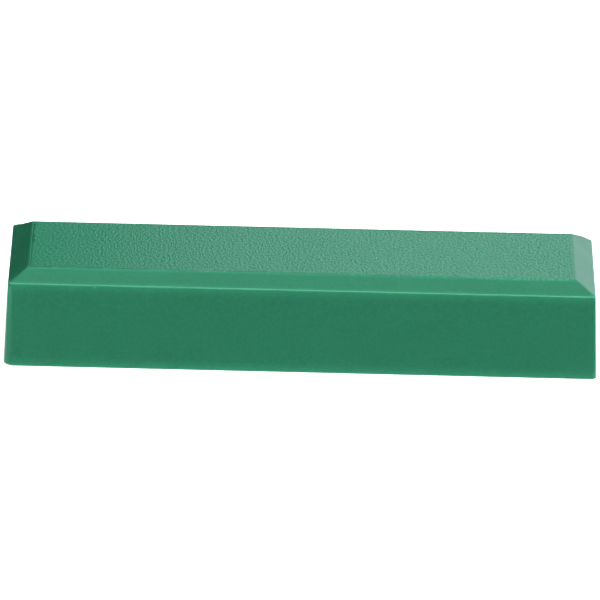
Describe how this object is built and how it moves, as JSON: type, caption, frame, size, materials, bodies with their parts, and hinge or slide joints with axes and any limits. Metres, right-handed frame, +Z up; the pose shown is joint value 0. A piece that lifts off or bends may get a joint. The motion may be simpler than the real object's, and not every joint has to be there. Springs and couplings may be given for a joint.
{
  "type": "sharpening whetstone",
  "caption": "Bench sharpening stone: a smooth drafted block with mitred bevels and a grained working face bonded into a seat in its top.",
  "frame": {"origin": "middle of the underside, on the surface that the stone stands on", "axes": "+X along the stone, +Y across it from front to back, +Z up out of the working face"},
  "size_m": [0.15, 0.05, 0.0248],
  "materials": {
    "block": "smooth satin cast green, faintly waxy, soft light at the edges",
    "facing": "fine raised grain, satin green",
    "adhesive": "dark green cured adhesive"
  },
  "bodies": {
    "root": {"cast_block": "block", "abrasive_facing": "facing", "bond_film": "adhesive"}
  },
  "joints": []
}
